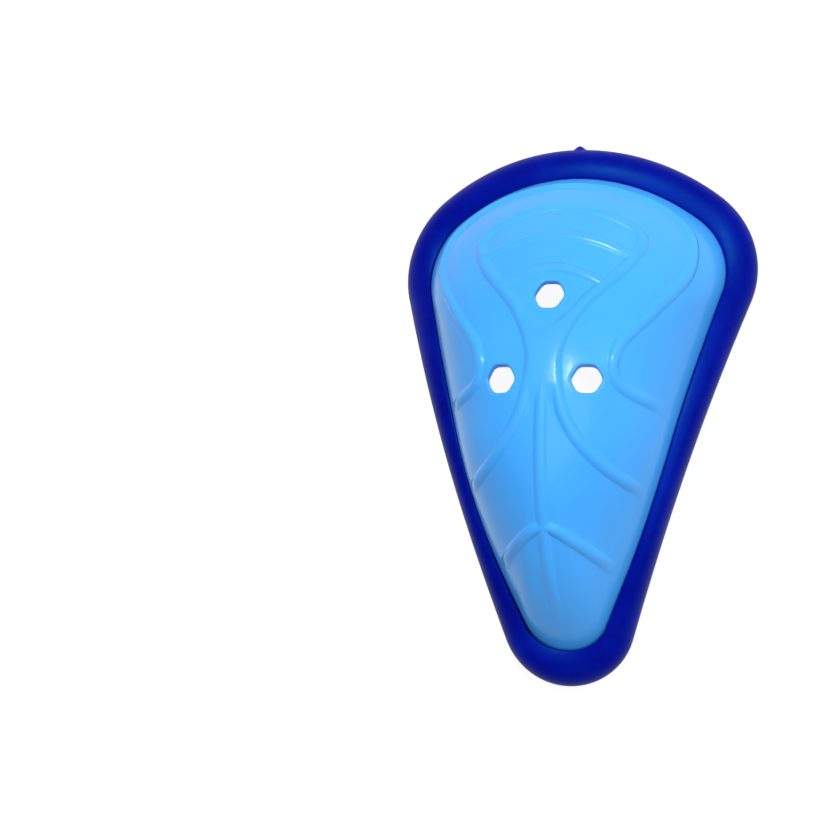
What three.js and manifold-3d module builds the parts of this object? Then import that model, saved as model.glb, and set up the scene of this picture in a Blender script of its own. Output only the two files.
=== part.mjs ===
import * as THREE from 'three';
import { mergeVertices } from 'three/addons/utils/BufferGeometryUtils.js';
import Module from 'manifold-3d';

// Abdominal guard: a hollow ribbed cup with three vents, held in a soft rounded edge.
// Millimetres. X runs across, Y up the length to the wide end, Z out of the front of the cup.

// Plan outline of the soft edge: arcs tangent to each other from the wide end round to the toe.
const LENGTH = 160;
const HALF_WIDTH = 53.2;
const TOP_RADIUS = 70;
const SHOULDER_RADIUS = 28.6;
const TOE_RADIUS = 19.9;

// Section of the soft edge: its half depth, and its half width on the way from the wide end to the toe.
const EDGE_HALF_DEPTH = 5.8;
const EDGE_HALF_WIDTHS = [
  { at: 0, half: 7.9 },
  { at: 0.29, half: 8.3 },
  { at: 0.5, half: 6.55 },
  { at: 0.75, half: 4.95 },
  { at: 1, half: 8.3 },
];

// The saddle that the middle line of the soft edge follows.
const ARCH_HEIGHT = 20.3;
const ARCH_PEAK = 0.465;
const ARCH_POWER = 1.3;
const WRAP_BACK = 19.05;

// Moulding nub in the middle of the wide end.
const NUB_RADIUS = 1.5;
const NUB_LENGTH = 1.2;

// Cup: the crown's place and height, how full each side is, and the wall.
const CROWN_Y = -9.1;
const CROWN_HEIGHT = 54.4;
const CROWN_POWER = 2.05;
const FULLNESS = { top: 1.5, side: 1.92, toe: 1.23, lean: 0.38 };
const EDGE_SINK = 1.55;
const WALL = 2.5;
const GAP = 0.3;

// Ribs: half-round mouldings on the cup, given by the plan points that the middle of each one passes.
const RIB_WIDTH = 3.6;
const RIB_HEIGHT = 1;
const RIB_ROOT = 0.8;
const RIB_STEP = 5;
const RIBS = [
  { name: 'loop', run: 'through', fade: 5, path: [
    { x: 0, y: 67 }, { x: 13, y: 65.5 }, { x: 25.5, y: 61 }, { x: 35.5, y: 52 }, { x: 36.5, y: 39.5 },
    { x: 28.5, y: 26.5 }, { x: 20, y: 15 }, { x: 20, y: 6 }, { x: 30.5, y: -0.5 }] },
  { name: 'fan', run: 'through', fade: 5, path: [
    { x: 0, y: 59 }, { x: 16, y: 55 }, { x: 23.5, y: 49 }, { x: 21, y: 41 }, { x: 8.5, y: 26 },
    { x: 3.5, y: 13 }, { x: 4.6, y: 2 }, { x: 8.2, y: -7.8 }, { x: 15.8, y: -17.2 }, { x: 25, y: -24.2 }] },
  { name: 'upper_arc', run: 'through', fade: 0, path: [
    { x: 0, y: 49.5 }, { x: 11, y: 47.7 }, { x: 21.5, y: 43.2 }] },
  { name: 'lower_arc', run: 'through', fade: 0, path: [
    { x: 0, y: 39 }, { x: 8, y: 37.4 }, { x: 15, y: 34.2 }] },
  { name: 'chevron', run: 'through', fade: 4, path: [
    { x: 0, y: -35 }, { x: 9.5, y: -40.1 }, { x: 16, y: -45.6 }] },
  { name: 'stem', run: 'once', fade: 5, width: 8.5, path: [
    { x: 0, y: 21.5 }, { x: 0, y: 11 }, { x: 0, y: 0.5 }] },
  { name: 'spine', run: 'once', fade: 14, path: [
    { x: 0, y: 5 }, { x: 0, y: -28 }, { x: 0, y: -61 }] },
];

// Vents: soft-cornered hexagons pierced a little aslant, each with the drift of its inner mouth.
const VENT_HALF_WIDTH = 4.6;
const VENT_CORNER = 0.32;
const VENT_DEPTH = 20;
const VENTS = [
  { name: 'upper', x: 0, y: 31, driftX: 0, driftY: -0.75 },
  { name: 'left', x: -12.4, y: 6.3, driftX: 0.3, driftY: -0.5 },
  { name: 'right', x: 12.4, y: 6.3, driftX: -0.3, driftY: -0.5 },
];

// How far the guard leans so that its two shoulders and its toe stand on one level.
const REST_TILT = 3.26;

// Fineness of the solids.
const ROUND_STEPS = 72;
const CUP_RINGS = 11;
const SECTION_SIDES = 12;

const CUP_COLOUR = 0x4fb4ff;
const EDGE_COLOUR = 0x0a0f9a;

const wasm = await Module();
wasm.setup();

// Plan outline
const topY = LENGTH / 2 - TOP_RADIUS;
const shoulderX = HALF_WIDTH - SHOULDER_RADIUS;
const shoulderY = topY + Math.sqrt((TOP_RADIUS - SHOULDER_RADIUS) ** 2 - shoulderX ** 2);
const toeY = TOE_RADIUS - LENGTH / 2;
const flankSpan = Math.hypot(shoulderX, shoulderY - toeY);
const topTurn = Math.atan2(shoulderX, shoulderY - topY);
const flankTurn = Math.PI - Math.atan2(shoulderY - toeY, shoulderX)
  + Math.asin((SHOULDER_RADIUS - TOE_RADIUS) / flankSpan);
const top = { x: 0, y: topY, r: TOP_RADIUS };
const shoulder = { x: shoulderX, y: shoulderY, r: SHOULDER_RADIUS };
const toe = { x: 0, y: toeY, r: TOE_RADIUS };
const STRETCHES = [
  { from: top, to: top, turn: 0, turnEnd: topTurn, run: TOP_RADIUS * topTurn },
  { from: shoulder, to: shoulder, turn: topTurn, turnEnd: flankTurn,
    run: SHOULDER_RADIUS * (flankTurn - topTurn) },
  { from: shoulder, to: toe, turn: flankTurn, turnEnd: flankTurn,
    run: Math.sqrt(flankSpan ** 2 - (SHOULDER_RADIUS - TOE_RADIUS) ** 2) },
  { from: toe, to: toe, turn: flankTurn, turnEnd: Math.PI, run: TOE_RADIUS * (Math.PI - flankTurn) },
];
const HALF_RUN = STRETCHES.reduce((sum, stretch) => sum + stretch.run, 0);

// A point of the outline moved inwards by inset. Share runs 0 to 1 from the wide end once round.
function outlinePoint(share, inset) {
  const side = share > 0.5 ? -1 : 1;
  let run = 2 * HALF_RUN * (share > 0.5 ? 1 - share : share);
  let index = 0;
  while (index < STRETCHES.length - 1 && run > STRETCHES[index].run) {
    run -= STRETCHES[index].run;
    index += 1;
  }
  const { from, to, turn, turnEnd, run: whole } = STRETCHES[index];
  const part = Math.min(run / whole, 1);
  const angle = THREE.MathUtils.lerp(turn, turnEnd, part);
  const radius = THREE.MathUtils.lerp(from.r, to.r, part) - inset;
  const x = THREE.MathUtils.lerp(from.x, to.x, part) + radius * Math.sin(angle);
  const y = THREE.MathUtils.lerp(from.y, to.y, part) + radius * Math.cos(angle);
  return new THREE.Vector2(side * x, y);
}

// Half width of the soft edge, carried smoothly from one given place to the next.
function edgeHalfWidth(share) {
  const along = 2 * Math.min(share, 1 - share);
  let index = 0;
  while (index < EDGE_HALF_WIDTHS.length - 2 && along > EDGE_HALF_WIDTHS[index + 1].at) {
    index += 1;
  }
  const slope = (i) => {
    const before = EDGE_HALF_WIDTHS[i - 1];
    const after = EDGE_HALF_WIDTHS[i + 1];
    return before && after ? (after.half - before.half) / (after.at - before.at) : 0;
  };
  const from = EDGE_HALF_WIDTHS[index];
  const to = EDGE_HALF_WIDTHS[index + 1];
  const span = to.at - from.at;
  const t = (along - from.at) / span;
  return from.half * (1 + 2 * t) * (1 - t) ** 2 + slope(index) * span * t * (1 - t) ** 2
    + to.half * t * t * (3 - 2 * t) + slope(index + 1) * span * t * t * (t - 1);
}

// A place on the line where the cup ends in the soft edge.
function cupEdge(share) {
  return outlinePoint(share, edgeHalfWidth(share));
}

// Height of the middle line of the soft edge: arched along the length, falling back to the sides.
function edgeHeight(point) {
  const part = THREE.MathUtils.clamp(point.y / LENGTH + 0.5, 0, 1);
  const fall = ARCH_POWER * (1 - ARCH_PEAK) / ARCH_PEAK;
  const arch = (part / ARCH_PEAK) ** ARCH_POWER * ((1 - part) / (1 - ARCH_PEAK)) ** fall;
  return ARCH_HEIGHT * arch - WRAP_BACK * (point.x / HALF_WIDTH) ** 2;
}

// Height of the cup's outside on the way from the crown (reach 0) to a place on its edge (reach 1).
function cupHeight(edge, reach) {
  const ahead = (edge.y - CROWN_Y) / Math.hypot(edge.x, edge.y - CROWN_Y);
  const topPart = Math.max(ahead, 0) ** 2;
  const toePart = Math.max(-ahead, 0) ** 2;
  const sidePart = 1 - topPart - toePart;
  const fullness = FULLNESS.top * topPart + FULLNESS.toe * toePart
    + (FULLNESS.side - FULLNESS.lean * ahead) * sidePart;
  const foot = edgeHeight(edge) - EDGE_SINK;
  return foot + (CROWN_HEIGHT - foot) * Math.max(1 - reach ** CROWN_POWER, 0) ** (1 / fullness);
}

// The place on the cup's edge that the line from the crown through x, y meets.
function edgeBeyond(x, y) {
  const wanted = Math.atan2(Math.abs(x), y - CROWN_Y);
  let low = 0;
  let high = 0.5;
  for (let step = 0; step < 40; step += 1) {
    const share = (low + high) / 2;
    const edge = cupEdge(share);
    if (Math.atan2(edge.x, edge.y - CROWN_Y) < wanted) {
      low = share;
    } else {
      high = share;
    }
  }
  const found = cupEdge(low);
  return new THREE.Vector2(x < 0 ? -found.x : found.x, found.y);
}

function cupPoint(x, y) {
  const edge = edgeBeyond(x, y);
  const reach = Math.hypot(x, y - CROWN_Y) / Math.hypot(edge.x, edge.y - CROWN_Y);
  return new THREE.Vector3(x, y, cupHeight(edge, Math.min(reach, 1)));
}

// Outward direction of the cup's outside at x, y.
function cupNormal(x, y) {
  const step = 0.05;
  const across = cupPoint(x + step, y).z - cupPoint(x - step, y).z;
  const along = cupPoint(x, y + step).z - cupPoint(x, y - step).z;
  return new THREE.Vector3(-across, -along, 2 * step).normalize();
}

// Solid from rows of points: each row is a ring, the rows follow each other, and both ends are closed.
function solidFromRings(rings, closedRow) {
  const count = rings[0].length;
  const rows = closedRow ? rings.length : rings.length - 1;
  const positions = rings.flat().flatMap((point) => [point.x, point.y, point.z]);
  const index = [];
  for (let row = 0; row < rows; row += 1) {
    const here = row * count;
    const next = ((row + 1) % rings.length) * count;
    for (let i = 0; i < count; i += 1) {
      const j = (i + 1) % count;
      index.push(here + i, here + j, next + j, here + i, next + j, next + i);
    }
  }
  if (!closedRow) {
    const last = (rings.length - 1) * count;
    for (let i = 1; i < count - 1; i += 1) {
      index.push(0, i + 1, i, last, last + i, last + i + 1);
    }
  }
  const geometry = new THREE.BufferGeometry();
  geometry.setAttribute('position', new THREE.Float32BufferAttribute(positions, 3));
  geometry.setIndex(index);
  return geometry;
}

function toManifold(geometry) {
  geometry.deleteAttribute('normal');
  geometry.deleteAttribute('uv');
  const whole = mergeVertices(geometry, 1e-4);
  const mesh = new wasm.Mesh({
    numProp: 3,
    vertProperties: new Float32Array(whole.attributes.position.array),
    triVerts: new Uint32Array(whole.index.array),
  });
  return new wasm.Manifold(mesh);
}

function toGeometry(manifold) {
  const mesh = manifold.getMesh();
  const geometry = new THREE.BufferGeometry();
  geometry.setAttribute('position', new THREE.BufferAttribute(new Float32Array(mesh.vertProperties), 3));
  geometry.setIndex(new THREE.BufferAttribute(new Uint32Array(mesh.triVerts), 1));
  geometry.computeVertexNormals();
  return geometry;
}

// The cup's wall between two offsets from its outside, ending deeper in the soft edge by extra.
function cupWall(outer, inner, extra) {
  const skins = [outer, inner].map(() => []);
  const shares = Array.from({ length: ROUND_STEPS }, (unused, i) => 1 - i / ROUND_STEPS);
  for (let ring = 1; ring <= CUP_RINGS; ring += 1) {
    const reach = Math.sin((ring / CUP_RINGS) * Math.PI / 2) ** 0.9;
    [outer, inner].forEach((offset, skin) => {
      skins[skin].push(shares.map((share) => {
        const edge = cupEdge(share);
        const x = edge.x * reach;
        const y = CROWN_Y + (edge.y - CROWN_Y) * reach;
        const point = new THREE.Vector3(x, y, cupHeight(edge, reach));
        if (ring === CUP_RINGS) {
          const moved = outlinePoint(share, edgeHalfWidth(share) - offset);
          return new THREE.Vector3(moved.x, moved.y, point.z - extra);
        }
        return point.addScaledVector(cupNormal(x, y), offset);
      }));
    });
  }
  const crown = [outer, inner].map((offset) => new THREE.Vector3(0, CROWN_Y, CROWN_HEIGHT + offset));
  const rows = [...skins[0], ...skins[1].reverse()];
  const count = ROUND_STEPS;
  const points = [...rows.flat(), ...crown];
  const index = [];
  for (let row = 0; row < rows.length - 1; row += 1) {
    for (let i = 0; i < count; i += 1) {
      const j = (i + 1) % count;
      const here = row * count;
      const next = here + count;
      index.push(here + i, next + i, next + j, here + i, next + j, here + j);
    }
  }
  const last = (rows.length - 1) * count;
  for (let i = 0; i < count; i += 1) {
    const j = (i + 1) % count;
    index.push(points.length - 2, i, j, points.length - 1, last + j, last + i);
  }
  const geometry = new THREE.BufferGeometry();
  const positions = points.flatMap((point) => [point.x, point.y, point.z]);
  geometry.setAttribute('position', new THREE.Float32BufferAttribute(positions, 3));
  geometry.setIndex(index);
  return geometry;
}

// The full round of the soft edge, grown by extra on every side.
function edgeRound(extra) {
  const rings = [];
  for (let i = 0; i < ROUND_STEPS; i += 1) {
    const share = i / ROUND_STEPS;
    const half = edgeHalfWidth(share);
    const middle = edgeHeight(cupEdge(share));
    const ring = [];
    for (let side = 0; side < SECTION_SIDES; side += 1) {
      const angle = ((side + 0.5) / SECTION_SIDES) * 2 * Math.PI;
      const inset = half - (half + extra) * Math.cos(angle);
      const place = outlinePoint(share, inset);
      ring.push(new THREE.Vector3(place.x, place.y, middle + (EDGE_HALF_DEPTH + extra) * Math.sin(angle)));
    }
    rings.push(ring);
  }
  return solidFromRings(rings, true);
}

// One rib: a half-round section carried along its path on the outside of the cup.
// A rib that runs through is given from the middle outwards and repeated on the other side.
function ribSolid({ run, fade, path, width = RIB_WIDTH }) {
  const other = run === 'through' ? path.slice(1).reverse().map(({ x, y }) => ({ x: -x, y })) : [];
  const curve = new THREE.CatmullRomCurve3(
    [...other, ...path].map(({ x, y }) => new THREE.Vector3(x, y, 0)), false, 'centripetal');
  curve.arcLengthDivisions = 400;
  const long = curve.getLength();
  const rounding = RIB_WIDTH / 2;
  const steps = Math.ceil(long / RIB_STEP);
  const stations = [0, 0.3 * rounding];
  for (let i = 0; i <= steps; i += 1) {
    stations.push(rounding + (long - 2 * rounding) * i / steps);
  }
  stations.push(long - 0.3 * rounding, long);
  const section = [
    { b: -0.5, n: -RIB_ROOT }, { b: 0.5, n: -RIB_ROOT }, { b: 0.5, n: 0 }, { b: 0.34, n: 0.7 * RIB_HEIGHT },
    { b: 0, n: RIB_HEIGHT }, { b: -0.34, n: 0.7 * RIB_HEIGHT }, { b: -0.5, n: 0 },
  ];
  const rings = stations.map((at) => {
    const flat = curve.getPointAt(at / long);
    const heading = curve.getTangentAt(at / long);
    const normal = cupNormal(flat.x, flat.y);
    const centre = cupPoint(flat.x, flat.y);
    const ahead = heading.addScaledVector(normal, -heading.dot(normal)).normalize();
    const across = new THREE.Vector3().crossVectors(normal, ahead);
    const fromEnd = run === 'through' ? Math.min(at, long - at) : long - at;
    const fromTip = Math.min(at, long - at);
    const round = Math.sqrt(Math.max(1 - (1 - Math.min(fromTip / rounding, 1)) ** 2, 0.12));
    const height = round * THREE.MathUtils.clamp(fade > 0 ? fromEnd / fade : 1, 0.3, 1);
    return section.map(({ b: sideways, n: out }) => centre.clone()
      .addScaledVector(across, sideways * width * round)
      .addScaledVector(normal, out > 0 ? out * height : out));
  });
  return solidFromRings(rings, false);
}

// One vent: a soft-cornered hexagonal bar through the cup's wall.
function ventBar({ x, y, driftX, driftY }) {
  const corners = Array.from({ length: 6 }, (unused, i) => new THREE.Vector2(
    VENT_HALF_WIDTH * Math.cos(i * Math.PI / 3), VENT_HALF_WIDTH * Math.sin(i * Math.PI / 3)));
  const shape = new THREE.Shape();
  corners.forEach((corner, i) => {
    const before = corners[(i + 5) % 6];
    const after = corners[(i + 1) % 6];
    const enter = corner.clone().lerp(before, VENT_CORNER);
    const leave = corner.clone().lerp(after, VENT_CORNER);
    if (i === 0) {
      shape.moveTo(enter.x, enter.y);
    } else {
      shape.lineTo(enter.x, enter.y);
    }
    shape.quadraticCurveTo(corner.x, corner.y, leave.x, leave.y);
  });
  shape.closePath();
  const bar = new THREE.ExtrudeGeometry(shape, { depth: VENT_DEPTH, bevelEnabled: false, curveSegments: 3 });
  const outer = cupPoint(x, y);
  bar.translate(0, 0, -VENT_DEPTH / 2);
  bar.applyMatrix4(new THREE.Matrix4().makeShear(0, 0, 0, 0, -driftX / WALL, -driftY / WALL));
  return bar.translate(outer.x, outer.y, outer.z);
}

// Moulding nub, standing out of the edge along Y.
function nub() {
  const middle = cupEdge(0);
  const long = edgeHalfWidth(0) / 2;
  const shape = new THREE.CapsuleGeometry(NUB_RADIUS, long, 3, 12);
  shape.translate(0, LENGTH / 2 + NUB_LENGTH - NUB_RADIUS - long / 2, edgeHeight(middle));
  return shape;
}

const edgeSolid = toManifold(edgeRound(0))
  .add(toManifold(nub()))
  .subtract(toManifold(cupWall(GAP, -WALL - GAP, GAP)));

const keepClear = toManifold(edgeRound(GAP));
let cupSolid = toManifold(cupWall(0, -WALL, 0));
for (const rib of RIBS) {
  cupSolid = cupSolid.add(toManifold(ribSolid(rib)).subtract(keepClear));
}
for (const vent of VENTS) {
  cupSolid = cupSolid.subtract(toManifold(ventBar(vent)));
}

// Both pieces lean together until the guard stands level, then move over the origin.
const pieces = [
  { name: 'shell', solid: cupSolid, colour: CUP_COLOUR, roughness: 0.3 },
  { name: 'edge_pad', solid: edgeSolid, colour: EDGE_COLOUR, roughness: 0.5 },
].map((piece) => ({ ...piece, geometry: toGeometry(piece.solid) }));
const bounds = new THREE.Box3();
for (const { geometry } of pieces) {
  geometry.rotateX(THREE.MathUtils.degToRad(REST_TILT));
  geometry.computeBoundingBox();
  bounds.union(geometry.boundingBox);
}
const middle = bounds.getCenter(new THREE.Vector3());

const group = new THREE.Group();
group.name = 'abdominal_guard';
for (const { name, geometry, colour, roughness } of pieces) {
  geometry.translate(-middle.x, -middle.y, -bounds.min.z);
  const material = new THREE.MeshStandardMaterial({ color: colour, roughness, metalness: 0 });
  const mesh = new THREE.Mesh(geometry, material);
  mesh.name = name;
  group.add(mesh);
}

export default group;
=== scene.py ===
"""Abdominal guard: a ribbed light blue cup in a dark blue soft edge, on a plain pale floor."""

import math

import bpy
import numpy as np
from mathutils import Matrix, Vector
from mathutils.bvhtree import BVHTree
from mathutils.geometry import delaunay_2d_cdt
from mathutils.kdtree import KDTree


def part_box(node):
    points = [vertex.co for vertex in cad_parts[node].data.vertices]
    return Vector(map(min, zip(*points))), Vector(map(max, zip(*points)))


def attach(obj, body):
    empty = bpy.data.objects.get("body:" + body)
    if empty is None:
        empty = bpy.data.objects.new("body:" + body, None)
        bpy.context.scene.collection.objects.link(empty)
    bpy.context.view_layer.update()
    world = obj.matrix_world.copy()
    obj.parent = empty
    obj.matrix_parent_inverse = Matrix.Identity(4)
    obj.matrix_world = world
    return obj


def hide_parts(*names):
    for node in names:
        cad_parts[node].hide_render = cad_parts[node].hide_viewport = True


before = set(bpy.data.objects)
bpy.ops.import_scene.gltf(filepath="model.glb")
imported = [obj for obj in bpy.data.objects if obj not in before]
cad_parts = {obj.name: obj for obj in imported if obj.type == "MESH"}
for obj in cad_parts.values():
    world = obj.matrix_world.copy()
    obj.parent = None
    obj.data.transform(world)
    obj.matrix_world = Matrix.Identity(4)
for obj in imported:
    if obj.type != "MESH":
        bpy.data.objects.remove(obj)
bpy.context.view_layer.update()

# Sizes in millimetres, as in the part: X across, Y along, Z out of the front.
MM_PER_METRE = 1000
LENGTH = 160.0
HALF_WIDTH = 53.2
TOP_RADIUS = 70.0
SHOULDER_RADIUS = 28.6
TOE_RADIUS = 19.9
EDGE_HALF_DEPTH = 5.8
EDGE_WIDTH_AT = np.array([0, 0.29, 0.5, 0.75, 1])
EDGE_HALF_WIDTHS = np.array([7.9, 8.3, 6.55, 4.95, 8.3])
ARCH_HEIGHT = 20.3
ARCH_PEAK = 0.465
ARCH_POWER = 1.3
WRAP_BACK = 19.05
NUB_REACH = 2.3
NUB_LENGTH = 1.2
CROWN_Y = -9.1
CROWN_HEIGHT = 54.4
CROWN_POWER = 2.05
FULL_TOP = 1.5
FULL_SIDE = 1.92
FULL_TOE = 1.23
FULL_LEAN = 0.38
EDGE_SINK = 1.55
WALL = 2.5
REST_TILT = math.radians(3.26)

# Groove of the soft edge: the room round the cup at its lips and lower down, and how its lips turn in.
SEAM = 0.06
GROOVE_GAP = 0.3
GROOVE_DEPTHS = np.array([0.0, 0.65, 2.0])
GROOVE_GAPS = np.array([SEAM, SEAM, GROOVE_GAP])
GROOVE_SLACK = 0.25
GROOVE_SEARCH = 1.2
LIP_SOFTEN = 0.11

# Ribs: half-round mouldings, given by the plan points that the middle of each one passes.
# A rib that runs through is given from the middle outwards and repeated on the other side.
# Over the length of its fade a rib sinks towards its end.
RIB_HEIGHT = 1.0
RIB_HALF_WIDTH = 1.9
RIB_FILLET = 0.12
FILLET_REACH = 1.6
RIB_JOIN = 0.16
RIB_END = 0.12
RIBS = {
    "loop": {"run": "through", "fade": 5.0, "path": (
        (0, 67), (13, 65.5), (25.5, 61), (35.5, 52), (36.5, 39.5),
        (28.5, 26.5), (20, 15), (20, 6), (30.5, -0.5))},
    "fan": {"run": "through", "fade": 5.0, "path": (
        (0, 59), (16, 55), (23.5, 49), (21, 41), (8.5, 26),
        (3.5, 13), (4.6, 2), (8.2, -7.8), (15.8, -17.2), (25, -24.2))},
    "upper_arc": {"run": "through", "fade": 0.0, "path": ((0, 49.5), (11, 47.7), (21.5, 43.2))},
    "lower_arc": {"run": "through", "fade": 0.0, "path": ((0, 39), (8, 37.4), (15, 34.2))},
    "chevron": {"run": "through", "fade": 4.0, "path": ((0, -35), (9.5, -40.1), (16, -45.6))},
    "spine": {"run": "once", "fade": 14.0, "path": ((0, 5), (0, -28), (0, -61))},
}

# Stem: the web that fills the space between the two sides of the fan where they run side by side.
STEM_TOP = 20.0
STEM_CURVE = 0.12
STEM_FADE = 4.0
STEM_FULL = 5.0
STEM_FOOT = -3.0
STEM_MARGIN = 2.0

# Vents: soft-cornered hexagons with a rounded lip, each with the drift of its inner mouth.
VENT_SIDES = 6
VENT_HALF_WIDTH = 4.6
VENT_CORNER = 0.32
VENT_ROUND = 0.93
VENT_LIP = 0.7
VENTS = {
    "upper": {"middle": (0.0, 31.0), "drift": (0.0, -0.75)},
    "left": {"middle": (-12.4, 6.3), "drift": (0.3, -0.5)},
    "right": {"middle": (12.4, 6.3), "drift": (-0.3, -0.5)},
}
VENT_MOUTHS = np.array([vent["middle"] for vent in VENTS.values()])
INNER_MOUTHS = VENT_MOUTHS + np.array([vent["drift"] for vent in VENTS.values()])

# Mesh of the cup: rows of points along ribs and vents, and an even pattern that keeps clear of them.
UNROLL = 1.4
TABLE_STEPS = 6000
SLOPE_STEP = 0.03
EDGE_STEPS = 560
EDGE_SHARES = np.arange(EDGE_STEPS) / EDGE_STEPS
CURVE_STEPS = 40
RIB_SAMPLE = 0.25
RIB_ROWS = (0.0, 0.4, 0.8, 1.15, 1.45, 1.65, 1.8, 1.92, 2.1, 2.45, 3.1)
FINE_ROWS = 2.2
FINE_STRIDE = 2
COARSE_STRIDE = 4
STEM_STEP = 0.4
ROW_SPACING = 0.16
ROW_CLEAR = 1.3
ROW_LIMIT = 0.99
VENT_ROWS = (0.0, 0.05, 0.17, 0.35, 0.7, 1.1)
CORNER_STEPS = 8
STRAIGHT_STEPS = 2
VENT_STEPS = VENT_SIDES * (CORNER_STEPS + STRAIGHT_STEPS)
MOUTH_ROUNDS = 12
CHART_COLUMNS = (-100, 100)
CHART_ROWS = (-100, 150)
OUTER_STEP = 1.5
OUTER_LIMIT = 0.988
OUTER_CLEAR = 1.65
RIB_CLEAR = 3.7
INNER_STEP = 2.2
INNER_LIMIT = 0.985
INNER_CLEAR = 1.0
FOOT_CLEAR = 0.6
RELIEF_LEAST = 1e-4
TINY = 1e-9
FAR = 1e9

# Triangulation: the kind that keeps what lies inside the loops, and the distance below which points merge.
INSIDE_LOOPS = 1
MERGE_BELOW = 1e-7

# Mesh of the soft edge: sections once round, closer at the nub, and the points of one section.
PAD_STEPS = 420
NUB_STEPS = 27
NUB_SPAN = 3.2
SHARE_DIGITS = 7
CUP_FOOT = np.concatenate([np.linspace(0.62, 0.95, 40), np.linspace(0.952, 1, 60)])
LIP_SEARCH = np.radians(np.linspace(70, 178, 400))
NUB_TURNS = (math.radians(340), math.radians(380))
BACK_STEPS = 34
FRONT_STEPS = 20
UPPER_STEPS = 18
LIP_STEPS = 4
SECTION_GAPS = np.concatenate([
    np.full(BACK_STEPS + FRONT_STEPS + UPPER_STEPS + LIP_STEPS, SEAM), GROOVE_GAPS[1:],
    np.full(2, GROOVE_GAP), GROOVE_GAPS[:0:-1], np.full(LIP_STEPS, SEAM)])
SHARP_ANGLE = math.radians(50)

# Camera: how it is turned round the guard, what its frame spans there, and where it aims from the middle.
CAMERA_TURN = (0.1834, -0.0813, 0.0183)
FRAME_WIDTH = 248.37
LENS = 112.5
SENSOR_WIDTH = 36
ASIDE = (-47.8, 0.13)
VIEW_END = 100.0

# Studio, in metres: the floor shines as pale as the air near it.
FLOOR_REACH = 40.0
PALE = 0.92
DIM = 0.12
DIM_ABOVE = 0.34


# Plan outline: tangent arcs from the wide end round to the toe, share 0 to 1 once round.
top_y = LENGTH / 2 - TOP_RADIUS
shoulder_x = HALF_WIDTH - SHOULDER_RADIUS
shoulder_y = top_y + math.sqrt((TOP_RADIUS - SHOULDER_RADIUS) ** 2 - shoulder_x ** 2)
toe_y = TOE_RADIUS - LENGTH / 2
flank_span = math.hypot(shoulder_x, shoulder_y - toe_y)
flank_run = math.sqrt(flank_span ** 2 - (SHOULDER_RADIUS - TOE_RADIUS) ** 2)
top_turn = math.atan2(shoulder_x, shoulder_y - top_y)
flank_turn = (math.pi - math.atan2(shoulder_y - toe_y, shoulder_x)
              + math.asin((SHOULDER_RADIUS - TOE_RADIUS) / flank_span))
TOP = (0.0, top_y, TOP_RADIUS)
SHOULDER = (shoulder_x, shoulder_y, SHOULDER_RADIUS)
TOE = (0.0, toe_y, TOE_RADIUS)
STRETCHES = (
    (TOP, TOP, 0.0, top_turn, TOP_RADIUS * top_turn),
    (SHOULDER, SHOULDER, top_turn, flank_turn, SHOULDER_RADIUS * (flank_turn - top_turn)),
    (SHOULDER, TOE, flank_turn, flank_turn, flank_run),
    (TOE, TOE, flank_turn, math.pi, TOE_RADIUS * (math.pi - flank_turn)),
)
HALF_RUN = sum(stretch[-1] for stretch in STRETCHES)


def outline(share, inset):
    """Points of the outline moved inwards by inset."""
    share = np.mod(np.asarray(share, float), 1.0)
    run = 2 * HALF_RUN * np.where(share > 0.5, 1 - share, share)
    x = np.zeros(np.broadcast(run, inset).shape)
    y = np.zeros_like(x)
    start = 0.0
    for start_arc, end_arc, turn, turn_end, long in STRETCHES:
        part = np.clip((run - start) / long, 0, 1)
        angle = turn + (turn_end - turn) * part
        radius = start_arc[2] + (end_arc[2] - start_arc[2]) * part - inset
        here = run >= start - TINY
        x = np.where(here, start_arc[0] + (end_arc[0] - start_arc[0]) * part + radius * np.sin(angle), x)
        y = np.where(here, start_arc[1] + (end_arc[1] - start_arc[1]) * part + radius * np.cos(angle), y)
        start += long
    return np.where(share > 0.5, -x, x), y


def edge_half_width(share):
    """Half width of the soft edge, carried smoothly from one given place to the next."""
    share = np.mod(np.asarray(share, float), 1.0)
    along = 2 * np.minimum(share, 1 - share)
    slope = np.zeros(len(EDGE_WIDTH_AT))
    slope[1:-1] = (EDGE_HALF_WIDTHS[2:] - EDGE_HALF_WIDTHS[:-2]) / (EDGE_WIDTH_AT[2:] - EDGE_WIDTH_AT[:-2])
    i = np.clip(np.searchsorted(EDGE_WIDTH_AT, along, side="right") - 1, 0, len(slope) - 2)
    span = EDGE_WIDTH_AT[i + 1] - EDGE_WIDTH_AT[i]
    t = (along - EDGE_WIDTH_AT[i]) / span
    return (EDGE_HALF_WIDTHS[i] * (1 + 2 * t) * (1 - t) ** 2 + slope[i] * span * t * (1 - t) ** 2
            + EDGE_HALF_WIDTHS[i + 1] * t * t * (3 - 2 * t) + slope[i + 1] * span * t * t * (t - 1))


def cup_edge(share, extra=0.0):
    """Places on the line where the cup ends in the soft edge, moved inwards by extra."""
    return outline(share, edge_half_width(share) + extra)


def edge_height(x, y):
    """Height of the middle line of the soft edge."""
    part = np.clip(y / LENGTH + 0.5, 0, 1)
    fall = ARCH_POWER * (1 - ARCH_PEAK) / ARCH_PEAK
    arch = (part / ARCH_PEAK) ** ARCH_POWER * ((1 - part) / (1 - ARCH_PEAK)) ** fall
    return ARCH_HEIGHT * arch - WRAP_BACK * (x / HALF_WIDTH) ** 2


TABLE_SHARES = np.linspace(0, 0.5, TABLE_STEPS + 1)
TABLE_X, TABLE_Y = cup_edge(TABLE_SHARES)
TABLE_TURN = np.arctan2(np.abs(TABLE_X), TABLE_Y - CROWN_Y)


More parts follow.
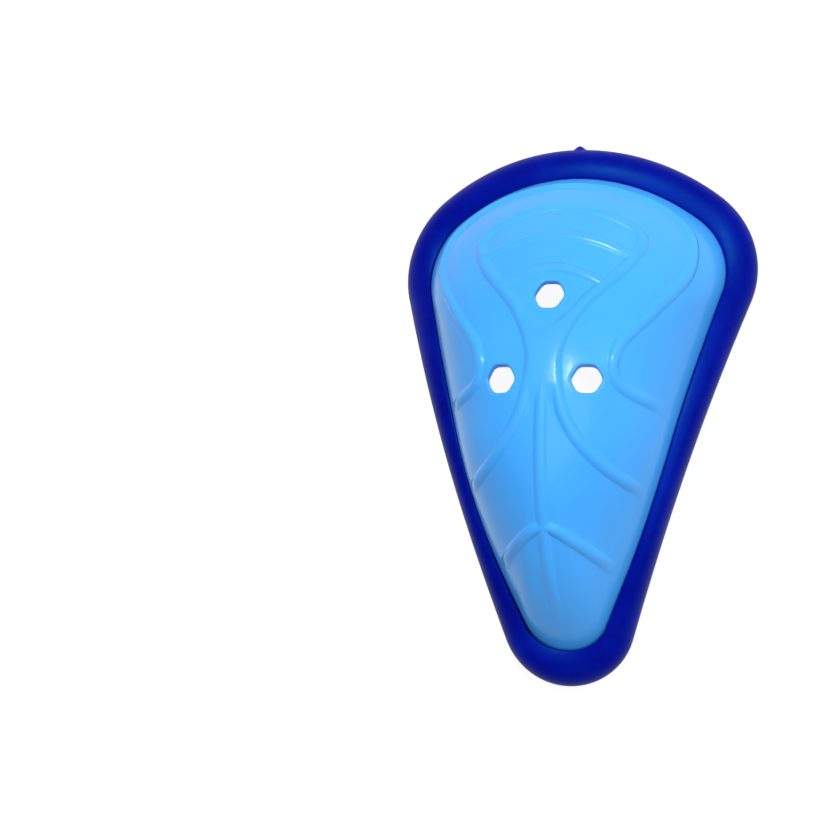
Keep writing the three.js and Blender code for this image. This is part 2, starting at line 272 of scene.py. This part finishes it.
def edge_beyond(x, y):
    """The place on the cup's edge that the line from the crown through x, y meets."""
    share = np.interp(np.arctan2(np.abs(x), y - CROWN_Y), TABLE_TURN, TABLE_SHARES)
    edge_x, edge_y = cup_edge(share)
    return np.where(x < 0, -edge_x, edge_x), edge_y


def cup_height(edge_x, edge_y, reach):
    """Height of the cup's outside from the crown (reach 0) to its edge (reach 1)."""
    ahead = (edge_y - CROWN_Y) / np.hypot(edge_x, edge_y - CROWN_Y)
    top_part = np.maximum(ahead, 0) ** 2
    toe_part = np.maximum(-ahead, 0) ** 2
    side_part = 1 - top_part - toe_part
    full = FULL_TOP * top_part + FULL_TOE * toe_part + (FULL_SIDE - FULL_LEAN * ahead) * side_part
    foot = edge_height(edge_x, edge_y) - EDGE_SINK
    rise = np.maximum(1 - np.minimum(reach, 1) ** CROWN_POWER, 0) ** (1 / full)
    return foot + (CROWN_HEIGHT - foot) * rise


def cup_z(x, y):
    """Height of the cup's outside, without ribs, at plan points."""
    edge_x, edge_y = edge_beyond(x, y)
    return cup_height(edge_x, edge_y, np.hypot(x, y - CROWN_Y) / np.hypot(edge_x, edge_y - CROWN_Y))


def cup_points(x, y):
    """Points of the cup's outside, without ribs, over plan points."""
    return np.stack([x, y, cup_z(x, y)], -1)


def cup_normals(x, y):
    """Directions straight out of the cup at plan points."""
    across = (cup_z(x + SLOPE_STEP, y) - cup_z(x - SLOPE_STEP, y)) / (2 * SLOPE_STEP)
    along = (cup_z(x, y + SLOPE_STEP) - cup_z(x, y - SLOPE_STEP)) / (2 * SLOPE_STEP)
    normal = np.stack([-across, -along, np.ones_like(across)], -1)
    return normal / np.linalg.norm(normal, axis=-1, keepdims=True)


# The cup is meshed in a flat chart: distance from the crown unrolled, direction kept.
def to_chart(x, y):
    """Plan points to chart points."""
    edge_x, edge_y = edge_beyond(x, y)
    far = np.hypot(edge_x, edge_y - CROWN_Y)
    out = np.hypot(x, y - CROWN_Y)
    reach = np.clip(out / far, 0, 1)
    unrolled = UNROLL * far * np.arcsin(reach) * 2 / math.pi / np.maximum(out, TINY)
    scale = np.where(out > TINY, unrolled, UNROLL)
    return np.stack([x * scale, (y - CROWN_Y) * scale], -1)


def from_chart(u, v):
    """Chart points to plan points, with the share of the way from the crown to the edge."""
    edge_x, edge_y = edge_beyond(u, v + CROWN_Y)
    far = np.hypot(edge_x, edge_y - CROWN_Y)
    spread = np.hypot(u, v) / (UNROLL * far)
    reach = np.sin(np.minimum(spread, 1) * math.pi / 2)
    return edge_x * reach, CROWN_Y + (edge_y - CROWN_Y) * reach, spread


def smooth(part):
    """Soft step from 0 to 1."""
    part = np.clip(part, 0, 1)
    return part * part * (3 - 2 * part)


def rounded(start, corner, end, part):
    """Points from start to end on a soft turn round the corner, at these parts of the way."""
    return start * (1 - part) ** 2 + corner * 2 * part * (1 - part) + end * part ** 2


def tree_of(points):
    """Search tree over the points."""
    tree = KDTree(len(points))
    for i, place in enumerate(points):
        tree.insert(place, i)
    tree.balance()
    return tree


def curve_through(path):
    """Smooth plan curve through the points, evenly sampled, and the run along it."""
    points = np.array(path, float)
    ends = np.vstack([2 * points[0] - points[1], points, 2 * points[-1] - points[-2]])
    part = np.linspace(0, 1, CURVE_STEPS, endpoint=False)[:, None]
    pieces = []
    for i in range(len(points) - 1):
        before, start, end, after = ends[i:i + 4]
        gap = [math.sqrt(np.linalg.norm(q - p)) for p, q in ((before, start), (start, end), (end, after))]
        leave = (start - before) / gap[0] - (end - before) / (gap[0] + gap[1]) + (end - start) / gap[1]
        arrive = (end - start) / gap[1] - (after - start) / (gap[1] + gap[2]) + (after - end) / gap[2]
        leave = leave * gap[1]
        arrive = arrive * gap[1]
        pieces.append(start + leave * part + (3 * end - 3 * start - 2 * leave - arrive) * part ** 2
                      + (2 * start - 2 * end + leave + arrive) * part ** 3)
    line = np.vstack(pieces + [points[-1:]])
    run = np.concatenate([[0], np.cumsum(np.linalg.norm(np.diff(line, axis=0), axis=1))])
    even = np.linspace(0, run[-1], int(run[-1] / RIB_SAMPLE) + 2)
    return np.stack([np.interp(even, run, line[:, 0]), np.interp(even, run, line[:, 1])], -1), even


# The ribs on the cup: middle lines, share of the full height along them, and rows of points beside them.
rib_points = []
rib_levels = []
row_plan = []
for rib in RIBS.values():
    path = list(rib["path"])
    if rib["run"] == "through":
        path = [(-x, y) for x, y in path[:0:-1]] + path
    line, at = curve_through(path)
    from_end = np.minimum(at, at[-1] - at) if rib["run"] == "through" else at[-1] - at
    level = RIB_END + (1 - RIB_END) * smooth(from_end / rib["fade"]) if rib["fade"] else np.ones_like(at)
    middle = cup_points(line[:, 0], line[:, 1])
    rib_points.append(middle)
    rib_levels.append(level)
    heading = np.gradient(middle, axis=0)
    across = np.cross(cup_normals(line[:, 0], line[:, 1]), heading)
    across /= np.linalg.norm(across, axis=1, keepdims=True)
    for row in RIB_ROWS:
        stride = FINE_STRIDE if row < FINE_ROWS else COARSE_STRIDE
        for side in ((1,) if row == 0 else (1, -1)):
            row_plan.append((middle + side * row * across)[::stride, :2])

# The stem's two sides are the fan's, and its upper end is a curve of its own.
fan_side = curve_through(RIBS["fan"]["path"])[0]
below_top = fan_side[:, 1] < STEM_TOP + 2 * STEM_FADE
above_foot = fan_side[:, 1] > STEM_FOOT - STEM_MARGIN
fan_side = fan_side[below_top & above_foot][::-1]
stem_x = np.arange(-fan_side[-1, 0] / 2, fan_side[-1, 0] / 2, STEM_STEP)
for row in RIB_ROWS:
    row_plan.append(np.stack([stem_x, STEM_TOP + STEM_CURVE * stem_x ** 2 + RIB_HALF_WIDTH - row], -1))


def dome(inside):
    """Share of the rib's height this far inside its foot, with a small fillet at the foot."""
    out = np.maximum(1 - inside / RIB_HALF_WIDTH, 0)
    bare = 1 - out ** 2
    return np.where(out < FILLET_REACH, (bare + np.sqrt(bare ** 2 + RIB_FILLET ** 2)) / 2, 0)


def stem_relief(x, y):
    """How far the stem stands out of the cup at these plan points."""
    to_side = np.interp(y, fan_side[:, 1], fan_side[:, 0]) - np.abs(x)
    inside = RIB_HALF_WIDTH + np.minimum(to_side, STEM_TOP + STEM_CURVE * x * x - y)
    rise = smooth((y - STEM_FOOT) / (STEM_FULL - STEM_FOOT))
    fall = smooth((STEM_TOP + 2 * STEM_FADE - y) / STEM_FADE)
    return RIB_HEIGHT * dome(inside) * (rise * fall)


def rib_relief(points):
    """How far the ribs and the stem stand out of the cup at these points of its outside."""
    tallest = stem_relief(points[:, 0], points[:, 1])
    for middle, level in zip(rib_points, rib_levels):
        tree = tree_of(middle)
        nearest = np.array([tree.find(place)[1] for place in points])
        best = np.full(len(points), FAR)
        share = np.zeros(len(points))
        for step in (-1, 0):
            start = np.clip(nearest + step, 0, len(middle) - 2)
            span = middle[start + 1] - middle[start]
            part = np.clip(((points - middle[start]) * span).sum(1) / (span * span).sum(1), 0, 1)
            off = np.linalg.norm(points - middle[start] - span * part[:, None], axis=1)
            closer = off < best
            best = np.where(closer, off, best)
            share = np.where(closer, level[start] + (level[start + 1] - level[start]) * part, share)
        relief = RIB_HEIGHT * share * dome(RIB_HALF_WIDTH - best)
        blend = np.clip(0.5 + 0.5 * (relief - tallest) / RIB_JOIN, 0, 1)
        joined = tallest + (relief - tallest) * blend + RIB_JOIN * blend * (1 - blend)
        near = (relief > RELIEF_LEAST) & (tallest > RELIEF_LEAST)
        tallest = np.where(near, np.minimum(joined, RIB_HEIGHT), np.maximum(relief, tallest))
    return tallest


def vent_loop(middle, grow):
    """Soft-cornered hexagon round a vent, grown outwards in plan."""
    turn = np.arange(VENT_SIDES) * 2 * math.pi / VENT_SIDES
    corners = np.stack([np.cos(turn), np.sin(turn)], -1) * VENT_HALF_WIDTH
    corner_part = np.linspace(0, 1, CORNER_STEPS)[:, None]
    straight_part = np.linspace(0, 1, STRAIGHT_STEPS + 2)[1:-1, None]
    loop = []
    for i in range(VENT_SIDES):
        following = corners[(i + 1) % VENT_SIDES]
        enter = corners[i] + (corners[i - 1] - corners[i]) * VENT_CORNER
        leave = corners[i] + (following - corners[i]) * VENT_CORNER
        enter_next = following + (corners[i] - following) * VENT_CORNER
        loop.append(rounded(enter, corners[i], leave, corner_part))
        loop.append(leave + (enter_next - leave) * straight_part)
    loop = np.vstack(loop)
    heading = np.roll(loop, -1, axis=0) - np.roll(loop, 1, axis=0)
    outward = np.stack([heading[:, 1], -heading[:, 0]], -1)
    outward /= np.linalg.norm(outward, axis=1, keepdims=True)
    return loop + outward * grow + middle


def vent_offset(x, y, middles):
    """Distance outside the nearest vent's edge, less than nought inside it."""
    nearest = np.full(x.shape, FAR)
    slant = math.sqrt(3) / 2
    inner = VENT_HALF_WIDTH * slant
    for vent_x, vent_y in middles:
        across = np.abs(x - vent_x)
        along = np.abs(y - vent_y)
        flat = np.maximum(along - inner, across * slant + along / 2 - inner)
        round_off = np.hypot(across, along) - VENT_HALF_WIDTH * VENT_ROUND
        nearest = np.minimum(nearest, np.maximum(flat, round_off))
    return nearest


def lattice(step):
    """Even triangular pattern of chart points over the cup."""
    columns = np.arange(*CHART_COLUMNS, step)
    rows = np.arange(*CHART_ROWS, step * math.sqrt(3) / 2)
    u, v = np.meshgrid(columns, rows)
    u = u + (np.arange(len(rows)) % 2)[:, None] * step / 2
    return u.ravel(), v.ravel()


def triangulate(chart, loops):
    """Triangles over the chart points, facing out: inside the first loop and outside the others."""
    edges = []
    for first, count in loops:
        edges += [(first + i, first + (i + 1) % count) for i in range(count)]
    places = [Vector(place) for place in chart]
    _, _, triangles, sources, _, _ = delaunay_2d_cdt(places, edges, [], INSIDE_LOOPS, MERGE_BELOW)
    faces = np.array([[sources[i][0] for i in triangle] for triangle in triangles])
    for first, count in loops[1:]:
        faces = faces[~((faces >= first) & (faces < first + count)).all(1)]
    a, b, c = (chart[faces[:, i]] for i in range(3))
    area = (b[:, 0] - a[:, 0]) * (c[:, 1] - a[:, 1]) - (b[:, 1] - a[:, 1]) * (c[:, 0] - a[:, 0])
    return np.where((area < 0)[:, None], faces[:, ::-1], faces)


def rib_row_plan():
    """Plan points of the rows along ribs and stem, thinned where rows cross, clear of vents and edge."""
    rows = np.vstack(row_plan)
    cells = np.round(to_chart(rows[:, 0], rows[:, 1]) / ROW_SPACING).astype(int)
    rows = rows[np.sort(np.unique(cells, axis=0, return_index=True)[1])]
    spread = from_chart(*to_chart(rows[:, 0], rows[:, 1]).T)[2]
    return rows[(vent_offset(rows[:, 0], rows[:, 1], VENT_MOUTHS) > ROW_CLEAR) & (spread < ROW_LIMIT)]


def even_plan():
    """Even plan points over the rest of the outside."""
    x, y, spread = from_chart(*lattice(OUTER_STEP))
    plan = np.stack([x, y], -1)[(spread < OUTER_LIMIT) & (vent_offset(x, y, VENT_MOUTHS) > OUTER_CLEAR)]
    tree = tree_of(np.vstack(rib_points))
    off = np.array([tree.find(place)[2] for place in cup_points(plan[:, 0], plan[:, 1])])
    return plan[off > RIB_CLEAR]


def outer_skin():
    """Outside of the cup with its ribs and the lips of its vents."""
    plans = [np.stack(cup_edge(EDGE_SHARES), -1)]
    loops = [(0, EDGE_STEPS)]
    drops = [np.zeros(EDGE_STEPS)]
    for mouth in VENT_MOUTHS:
        loops.append((sum(len(plan) for plan in plans), VENT_STEPS))
        for grow in VENT_ROWS:
            drop = VENT_LIP - math.sqrt(VENT_LIP ** 2 - max(VENT_LIP - grow, 0) ** 2)
            plans.append(vent_loop(mouth, grow))
            drops.append(np.full(VENT_STEPS, drop))
    drops = np.concatenate(drops)
    plan = np.vstack(plans + [rib_row_plan(), even_plan()])
    faces = triangulate(to_chart(plan[:, 0], plan[:, 1]), loops)
    base = cup_points(plan[:, 0], plan[:, 1])
    lift = rib_relief(base)
    lift[:len(drops)] -= drops
    lift[:EDGE_STEPS] = 0
    return base + cup_normals(plan[:, 0], plan[:, 1]) * lift[:, None], faces, loops


def inner_skin():
    """Inside of the cup, one wall thickness in."""
    edge_plan = np.stack(cup_edge(EDGE_SHARES), -1)
    plans = [edge_plan]
    loops = [(0, EDGE_STEPS)]
    for mouth in INNER_MOUTHS:
        wanted = vent_loop(mouth, 0)
        place = wanted
        for _ in range(MOUTH_ROUNDS):
            place = wanted + WALL * cup_normals(place[:, 0], place[:, 1])[:, :2]
        loops.append((sum(len(plan) for plan in plans), VENT_STEPS))
        plans.append(place)
    x, y, spread = from_chart(*lattice(INNER_STEP))
    normal = cup_normals(x, y)
    shifted = vent_offset(x - WALL * normal[:, 0], y - WALL * normal[:, 1], INNER_MOUTHS)
    above_edge = cup_z(x, y) - WALL * normal[:, 2] - edge_height(*edge_beyond(x, y)) + EDGE_SINK
    inside = (spread < INNER_LIMIT) & (shifted > INNER_CLEAR) & (above_edge > FOOT_CLEAR)
    plan = np.vstack(plans + [np.stack([x, y], -1)[inside]])
    faces = triangulate(to_chart(plan[:, 0], plan[:, 1]), loops)
    points = cup_points(plan[:, 0], plan[:, 1]) - WALL * cup_normals(plan[:, 0], plan[:, 1])
    foot = cup_z(edge_plan[:, 0], edge_plan[:, 1])
    points[:EDGE_STEPS] = np.stack([*cup_edge(EDGE_SHARES, WALL), foot], -1)
    return points, faces, loops


def shell_mesh():
    """Both skins of the cup, joined along its edge and through its vents."""
    outer, outer_faces, outer_loops = outer_skin()
    inner, inner_faces, inner_loops = inner_skin()
    below = len(outer)
    faces = [tuple(face) for face in outer_faces]
    faces += [tuple(below + face[::-1]) for face in inner_faces]
    for (first, count), (other, _) in zip(outer_loops, inner_loops):
        for i in range(count):
            j = (i + 1) % count
            faces.append((first + i, first + j, below + other + j, below + other + i))
    return np.vstack([outer, inner]), faces


def groove_wall(turn, heights, insets, gaps, middle):
    """Points of one wall of the groove, from the oval's surface at this turn downwards."""
    level = middle + EDGE_HALF_DEPTH * math.sin(turn) - GROOVE_DEPTHS
    return np.stack([-np.interp(level, heights, insets) + gaps, level - middle], -1)


def edge_section(share, half, middle, line, out):
    """One section of the soft edge, outwards and up from its middle: an oval with a groove for the cup."""
    reach = np.sin(CUP_FOOT * math.pi / 2)
    inset = (1 - reach) * (line - (0, CROWN_Y)).dot(out)
    height = cup_height(line[0], line[1], reach)
    slope = np.stack([np.gradient(inset), np.gradient(height)], -1)
    slope /= np.linalg.norm(slope, axis=1, keepdims=True)
    thick_inset = inset - slope[:, 1] * WALL
    thick_height = height + slope[:, 0] * WALL
    order = np.argsort(height)
    thick_order = np.argsort(thick_height)
    front_side = (height[order], inset[order])
    back_side = (thick_height[thick_order], thick_inset[thick_order])
    level = middle + EDGE_HALF_DEPTH * np.sin(LIP_SEARCH)
    across = half * np.cos(LIP_SEARCH)
    turn_front = LIP_SEARCH[np.argmax(across + (np.interp(level, *front_side) - SEAM) < 0)]
    turn_back = LIP_SEARCH[np.argmax(across + (np.interp(level, *back_side) + SEAM) < 0)]
    angles = np.concatenate([
        np.linspace(turn_back + LIP_SOFTEN, NUB_TURNS[0], BACK_STEPS, endpoint=False),
        np.linspace(NUB_TURNS[0], NUB_TURNS[1], FRONT_STEPS, endpoint=False),
        np.linspace(NUB_TURNS[1], 2 * math.pi + turn_front - LIP_SOFTEN, UPPER_STEPS)])
    oval = np.stack([half * np.cos(angles), EDGE_HALF_DEPTH * np.sin(angles)], -1)
    run = abs(share - round(share)) * 2 * HALF_RUN
    off = np.hypot(run, oval[:, 1])
    nub = np.where((off < NUB_REACH) & (oval[:, 0] > 0), (1 - (off / NUB_REACH) ** 2) ** 2, 0)
    oval[:, 0] += NUB_LENGTH * nub
    front_wall = groove_wall(turn_front, *front_side, GROOVE_GAPS, middle)
    back_wall = groove_wall(turn_back, *back_side, -GROOVE_GAPS, middle)
    foot = height.min() - middle - GROOVE_SLACK
    floor = [[GROOVE_GAP, foot], [-WALL - GROOVE_GAP, foot]]
    part = np.linspace(0, 1, LIP_STEPS + 2)[1:-1, None]
    front_lip = rounded(oval[-1], front_wall[0], front_wall[1], part)
    back_lip = rounded(back_wall[1], back_wall[0], oval[0], part)
    return np.vstack([oval, front_lip, front_wall[1:], floor, back_wall[:0:-1], back_lip])


def clear_of_cup(points, gaps, cup):
    """The points, those nearer to the cup than their gap or inside its wall moved out to the gap."""
    moved = points.copy()
    for i, point in enumerate(points):
        near, normal, _, _ = cup.find_nearest(Vector(point), GROOVE_SEARCH)
        if near is None:
            continue
        short = gaps[i] - (Vector(point) - near).dot(normal)
        if short > 0:
            moved[i] += short * np.array(normal)
    return moved


def edge_mesh(cup):
    """The soft edge: its section carried once round, with a moulding nub at the wide end."""
    near_nub = np.linspace(-NUB_SPAN, NUB_SPAN, NUB_STEPS) / (2 * HALF_RUN)
    shares = np.concatenate([np.arange(PAD_STEPS) / PAD_STEPS, near_nub])
    shares = np.unique(np.round(np.mod(shares, 1), SHARE_DIGITS))
    half = edge_half_width(shares)
    line = np.stack(cup_edge(shares), -1)
    out = np.stack(cup_edge(shares, -1.0), -1) - line
    middle = edge_height(line[:, 0], line[:, 1])
    sections = []
    for i, share in enumerate(shares):
        section = edge_section(share, half[i], middle[i], line[i], out[i])
        sections.append(np.column_stack([line[i] + section[:, :1] * out[i], middle[i] + section[:, 1]]))
    count = len(SECTION_GAPS)
    faces = []
    for i in range(len(sections)):
        here = i * count
        there = (i + 1) % len(sections) * count
        for k in range(count):
            j = (k + 1) % count
            faces.append((here + k, here + j, there + j, there + k))
    return clear_of_cup(np.vstack(sections), np.tile(SECTION_GAPS, len(sections)), cup), faces


def to_rest(points):
    """Design millimetres to the leaning pose, before the move over the origin."""
    cos = math.cos(REST_TILT)
    sin = math.sin(REST_TILT)
    return np.stack([points[:, 0], points[:, 1] * cos - points[:, 2] * sin,
                     points[:, 1] * sin + points[:, 2] * cos], -1)


def add_piece(name, points, faces):
    """A smooth-shaded piece from points in metres."""
    mesh = bpy.data.meshes.new(name)
    mesh.from_pydata([tuple(point) for point in points], [], faces)
    mesh.validate()
    mesh.update()
    mesh.shade_smooth()
    mesh.set_sharp_from_angle(angle=SHARP_ANGLE)
    piece = bpy.data.objects.new(name, mesh)
    bpy.context.scene.collection.objects.link(piece)
    return piece


shell_points, shell_faces = shell_mesh()
cup_surface = BVHTree.FromPolygons([Vector(point) for point in shell_points], shell_faces)
edge_points, edge_faces = edge_mesh(cup_surface)
shell_points = to_rest(shell_points)
edge_points = to_rest(edge_points)
cad_edge_low, cad_edge_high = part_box("edge_pad")
cad_middle = (cad_edge_low.y + cad_edge_high.y) / 2 * MM_PER_METRE
edge_middle = (edge_points[:, 1].min() + edge_points[:, 1].max()) / 2
move = np.array([0.0, cad_middle - edge_middle, -edge_points[:, 2].min()])
shell = add_piece("cup_shell", (shell_points + move) / MM_PER_METRE, shell_faces)
edge = add_piece("soft_edge", (edge_points + move) / MM_PER_METRE, edge_faces)


# Materials
def new_material(name):
    """A material, its node tree and the inputs of its shader."""
    material = bpy.data.materials.new(name)
    material.use_nodes = True
    tree = material.node_tree
    return material, tree, tree.nodes["Principled BSDF"].inputs


def noise(tree, where, scale, detail, roughness=0.5):
    """Noise fixed to the object."""
    node = tree.nodes.new("ShaderNodeTexNoise")
    node.inputs["Scale"].default_value = scale
    node.inputs["Detail"].default_value = detail
    node.inputs["Roughness"].default_value = roughness
    tree.links.new(where.outputs["Object"], node.inputs["Vector"])
    return node.outputs["Fac"]


def ramp(tree, source, stops):
    """Colours that follow the source."""
    node = tree.nodes.new("ShaderNodeValToRGB")
    elements = node.color_ramp.elements
    elements[0].position = stops[0][0]
    elements[0].color = (*stops[0][1], 1)
    elements[1].position = stops[-1][0]
    elements[1].color = (*stops[-1][1], 1)
    for position, colour in stops[1:-1]:
        elements.new(position).color = (*colour, 1)
    tree.links.new(source, node.inputs["Fac"])
    return node.outputs["Color"]


def between(tree, source, low, high):
    """A value that follows the source from low to high."""
    node = tree.nodes.new("ShaderNodeMapRange")
    node.inputs["To Min"].default_value = low
    node.inputs["To Max"].default_value = high
    tree.links.new(source, node.inputs["Value"])
    return node.outputs["Result"]


def bump(tree, height, strength, distance, under=None):
    """Fine relief, over that of another bump where one is given."""
    node = tree.nodes.new("ShaderNodeBump")
    node.inputs["Strength"].default_value = strength
    node.inputs["Distance"].default_value = distance
    tree.links.new(height, node.inputs["Height"])
    if under:
        tree.links.new(under, node.inputs["Normal"])
    return node.outputs["Normal"]


def light_blue_plastic():
    """Satin plastic with a slight drift of colour and a fine skin."""
    material, tree, surface = new_material("light_blue_plastic")
    where = tree.nodes.new("ShaderNodeTexCoord")
    drift = noise(tree, where, scale=26, detail=3)
    colour = ramp(tree, drift, (
        (0.3, (0.044, 0.297, 0.760)), (0.5, (0.049, 0.315, 0.790)), (0.7, (0.054, 0.333, 0.820))))
    peel = noise(tree, where, scale=170, detail=2)
    grain = noise(tree, where, scale=1100, detail=3)
    soft = bump(tree, peel, strength=0.10, distance=0.0006)
    fine = bump(tree, grain, strength=0.07, distance=0.0001, under=soft)
    tree.links.new(colour, surface["Base Color"])
    tree.links.new(between(tree, peel, low=0.17, high=0.25), surface["Roughness"])
    tree.links.new(fine, surface["Normal"])
    surface["IOR"].default_value = 1.47
    surface["Specular IOR Level"].default_value = 0.12
    return material


def dark_blue_rubber():
    """Dull rubber, faintly mottled, with a blue sheen."""
    material, tree, surface = new_material("dark_blue_rubber")
    where = tree.nodes.new("ShaderNodeTexCoord")
    mottle = noise(tree, where, scale=60, detail=5, roughness=0.62)
    colour = ramp(tree, mottle, (
        (0.32, (0.0004, 0.0008, 0.18)), (0.5, (0.0005, 0.0018, 0.205)), (0.72, (0.0008, 0.0045, 0.235))))
    scuff = noise(tree, where, scale=240, detail=4, roughness=0.6)
    grain = noise(tree, where, scale=1300, detail=2)
    dents = bump(tree, mottle, strength=0.16, distance=0.0008)
    fine = bump(tree, grain, strength=0.12, distance=0.0001, under=dents)
    tree.links.new(colour, surface["Base Color"])
    tree.links.new(between(tree, scuff, low=0.34, high=0.52), surface["Roughness"])
    tree.links.new(fine, surface["Normal"])
    surface["IOR"].default_value = 1.45
    surface["Specular IOR Level"].default_value = 0.18
    surface["Specular Tint"].default_value = (0.05, 0.6, 1.0, 1)
    return material


def pale_floor():
    """Plain floor with a glow of its own, so that only soft shade shows on it."""
    material, _, surface = new_material("pale_floor")
    surface["Base Color"].default_value = (0.12, 0.12, 0.12, 1)
    surface["Roughness"].default_value = 0.9
    surface["Specular IOR Level"].default_value = 0.0
    surface["Emission Color"].default_value = (1, 1, 1, 1)
    surface["Emission Strength"].default_value = PALE
    return material


shell.data.materials.append(light_blue_plastic())
edge.data.materials.append(dark_blue_rubber())

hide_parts("shell")
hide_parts("edge_pad")
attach(shell, "root")
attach(edge, "root")

# Floor
floor_mesh = bpy.data.meshes.new("floor")
floor_corners = [(x * FLOOR_REACH, y * FLOOR_REACH, 0) for x, y in ((-1, -1), (1, -1), (1, 1), (-1, 1))]
floor_mesh.from_pydata(floor_corners, [], [(0, 1, 2, 3)])
floor_mesh.materials.append(pale_floor())
floor = bpy.data.objects.new("floor", floor_mesh)
bpy.context.scene.collection.objects.link(floor)


# Light
def studio_world():
    """The studio's air: pale near the floor, which it meets without a line, and dim overhead."""
    world = bpy.data.worlds.new("studio")
    world.use_nodes = True
    tree = world.node_tree
    background = tree.nodes["Background"].inputs
    direction = tree.nodes.new("ShaderNodeTexCoord")
    height = tree.nodes.new("ShaderNodeSeparateXYZ")
    tree.links.new(direction.outputs["Generated"], height.inputs["Vector"])
    fall = tree.nodes.new("ShaderNodeMapRange")
    fall.inputs["From Max"].default_value = DIM_ABOVE
    fall.inputs["To Min"].default_value = PALE
    fall.inputs["To Max"].default_value = DIM
    tree.links.new(height.outputs["Z"], fall.inputs["Value"])
    tree.links.new(fall.outputs["Result"], background["Strength"])
    background["Color"].default_value = (1.0, 1.0, 1.0, 1)
    return world


def area_light(name, place, aim, size, power):
    """A round soft light, aimed at a place."""
    data = bpy.data.lights.new(name, "AREA")
    data.shape = "DISK"
    data.size = size
    data.energy = power
    light = bpy.data.objects.new(name, data)
    light.location = place
    light.rotation_euler = (Vector(aim) - Vector(place)).to_track_quat("-Z", "Y").to_euler()
    bpy.context.scene.collection.objects.link(light)


bpy.context.scene.world = studio_world()
area_light("key", place=(0.50, 0.02, 1.25), aim=(0, 0, 0.03), size=1.4, power=15.5)
area_light("top_light", place=(0.03, 0.5, 1.2), aim=(0, 0, 0.04), size=0.10, power=13.0)

# The camera stands straight out from the guard and is turned aside to frame it right of the middle.
turn, lift, roll = CAMERA_TURN
back = np.array([math.sin(turn) * math.cos(lift), math.sin(lift), math.cos(turn) * math.cos(lift)])
right = np.array([math.cos(turn), 0, -math.sin(turn)])
up = np.cross(back, right)
right, up = math.cos(roll) * right + math.sin(roll) * up, math.cos(roll) * up - math.sin(roll) * right
stand = back * FRAME_WIDTH * LENS / SENSOR_WIDTH
aim = ASIDE[0] * right + ASIDE[1] * up
back = (stand - aim) / np.linalg.norm(stand - aim)
right = np.cross(up, back) / np.linalg.norm(np.cross(up, back))
up = np.cross(back, right)
axes = to_rest(np.array([right, up, back]))
stand = (to_rest(stand[None])[0] + move) / MM_PER_METRE
camera_data = bpy.data.cameras.new("camera")
camera_data.sensor_width = SENSOR_WIDTH
camera_data.lens = LENS
camera_data.clip_end = VIEW_END
camera = bpy.data.objects.new("camera", camera_data)
camera.matrix_world = Matrix([[*axes[:, i], stand[i]] for i in range(3)] + [[0, 0, 0, 1]])
bpy.context.scene.collection.objects.link(camera)
bpy.context.scene.camera = camera
bpy.context.scene.view_settings.view_transform = "Standard"
